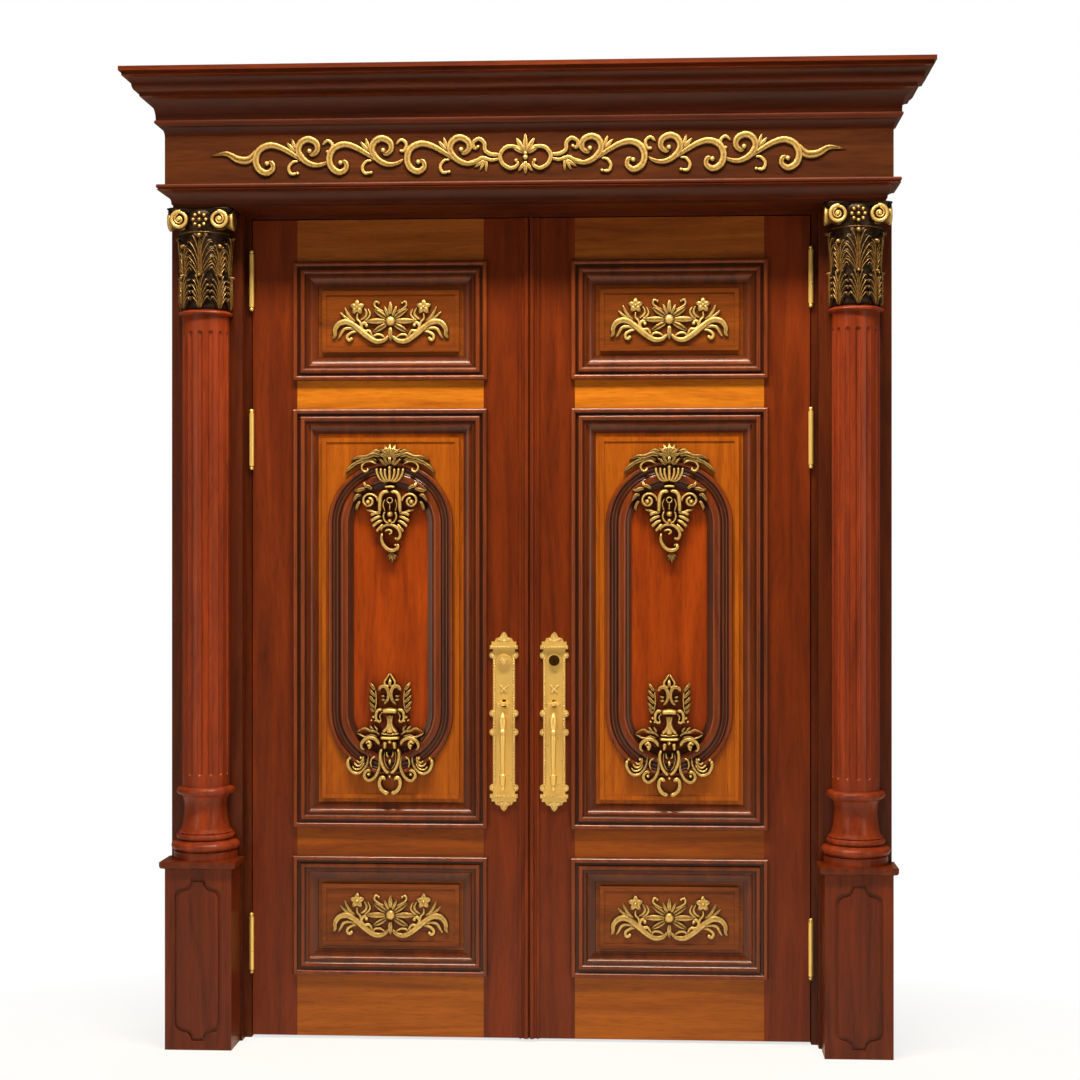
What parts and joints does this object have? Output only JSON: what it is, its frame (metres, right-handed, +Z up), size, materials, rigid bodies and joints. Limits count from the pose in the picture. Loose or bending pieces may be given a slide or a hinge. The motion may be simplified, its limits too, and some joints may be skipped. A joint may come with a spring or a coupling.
{
  "type": "double door",
  "caption": "Carved wooden double entrance door in a frame with fluted columns, frieze and cornice, long handle plates, hinges and a mortise lock.",
  "frame": {"origin": "middle of the floor line, centred in width and depth", "axes": "+Z up, +X to the right seen from the front, front faces -Y"},
  "size_m": [2.206, 0.405, 2.699],
  "materials": {
    "red_brown_wood": "gloss varnish",
    "amber_wood": "gloss varnish",
    "dark_wood": "gloss varnish",
    "gilt_carving": "antique gilding",
    "brass": "polished",
    "dark_brass": "satin",
    "steel": "brushed"
  },
  "bodies": {
    "frame": {"left_jamb": "red_brown_wood", "right_jamb": "red_brown_wood", "head_jamb": "red_brown_wood", "left_pilaster_board": "red_brown_wood", "right_pilaster_board": "red_brown_wood", "left_pedestal": "dark_wood", "right_pedestal": "dark_wood", "left_column_base": "dark_wood", "right_column_base": "dark_wood", "left_column_shaft": "red_brown_wood", "right_column_shaft": "red_brown_wood", "left_capital": "gilt_carving", "right_capital": "gilt_carving", "architrave": "dark_wood", "frieze_board": "red_brown_wood", "cornice": "dark_wood", "frieze_scroll": "gilt_carving", "hinge_jamb_plates": "brass", "hinge_pins": "brass"},
    "left_leaf": {"left_hinge_stile": "red_brown_wood", "left_lock_stile": "red_brown_wood", "left_rails": "amber_wood", "left_small_panels": "amber_wood", "left_main_panel": "amber_wood", "left_small_mouldings": "red_brown_wood", "left_main_moulding": "red_brown_wood", "left_oval_moulding": "red_brown_wood", "left_flower_sprays": "gilt_carving", "left_crest": "gilt_carving", "left_pendant": "gilt_carving", "left_hinge_plates": "brass", "left_handle_plate": "brass", "left_grip": "brass", "left_inner_handle": "brass", "strike_plate": "steel"},
    "left_thumb": {"left_thumb_piece": "brass"},
    "top_bolt": {"top_flush_bolt": "steel"},
    "bottom_bolt": {"bottom_flush_bolt": "steel"},
    "right_leaf": {"right_hinge_stile": "red_brown_wood", "right_lock_stile": "red_brown_wood", "right_rails": "amber_wood", "right_small_panels": "amber_wood", "right_main_panel": "amber_wood", "right_small_mouldings": "red_brown_wood", "right_main_moulding": "red_brown_wood", "right_oval_moulding": "red_brown_wood", "right_flower_sprays": "gilt_carving", "right_crest": "gilt_carving", "right_pendant": "gilt_carving", "right_hinge_plates": "brass", "right_handle_plate": "brass", "right_grip": "brass", "right_inner_plate": "brass", "key_cylinder": "dark_brass", "lock_case": "steel"},
    "right_thumb": {"right_thumb_piece": "brass"},
    "inner_lever": {"right_inner_lever": "brass"},
    "thumb_turn": {"right_thumb_turn": "brass"},
    "latch": {"latch_bolt": "steel"},
    "bolt": {"dead_bolt": "steel"}
  },
  "joints": [
    {"name": "left_leaf_swing", "type": "hinge", "parent": "frame", "child": "left_leaf", "pos_m": [-0.7885, 0.035, 1.163], "axis": [0, 0, -1], "range_deg": [0, 90]},
    {"name": "right_leaf_swing", "type": "hinge", "parent": "frame", "child": "right_leaf", "pos_m": [0.7885, 0.035, 1.163], "axis": [0, 0, 1], "range_deg": [0, 90]},
    {"name": "left_thumb_press", "type": "hinge", "parent": "left_leaf", "child": "left_thumb", "pos_m": [-0.071, 0.0335, 0.951], "axis": [1, 0, 0], "range_deg": [0, 12], "stiffness_Nm_per_rad": 0.3, "springref_deg": -11.46},
    {"name": "right_thumb_press", "type": "hinge", "parent": "right_leaf", "child": "right_thumb", "pos_m": [0.071, 0.0335, 0.951], "axis": [1, 0, 0], "range_deg": [0, 12], "stiffness_Nm_per_rad": 0.3, "springref_deg": -11.46},
    {"name": "inner_lever_turn", "type": "hinge", "parent": "right_leaf", "child": "inner_lever", "pos_m": [0.071, 0.095, 0.951], "axis": [0, 1, 0], "range_deg": [0, 40], "stiffness_Nm_per_rad": 1, "springref_deg": -28.65},
    {"name": "thumb_turn", "type": "hinge", "parent": "right_leaf", "child": "thumb_turn", "pos_m": [0.071, 0.095, 1.073], "axis": [0, 1, 0], "range_deg": [0, 90]},
    {"name": "dead_bolt_slide", "type": "slide", "parent": "right_leaf", "child": "bolt", "axis": [-1, 0, 0], "range_m": [0, 0.02]},
    {"name": "latch_slide", "type": "slide", "parent": "right_leaf", "child": "latch", "axis": [-1, 0, 0], "range_m": [0, 0.012]},
    {"name": "top_bolt_slide", "type": "slide", "parent": "left_leaf", "child": "top_bolt", "axis": [0, 0, 1], "range_m": [0, 0.015]},
    {"name": "bottom_bolt_slide", "type": "slide", "parent": "left_leaf", "child": "bottom_bolt", "axis": [0, 0, -1], "range_m": [0, 0.015]}
  ],
  "couplings": [
    {"joint": "thumb_turn", "follows": "dead_bolt_slide", "rad_per_m": 78.5}
  ]
}
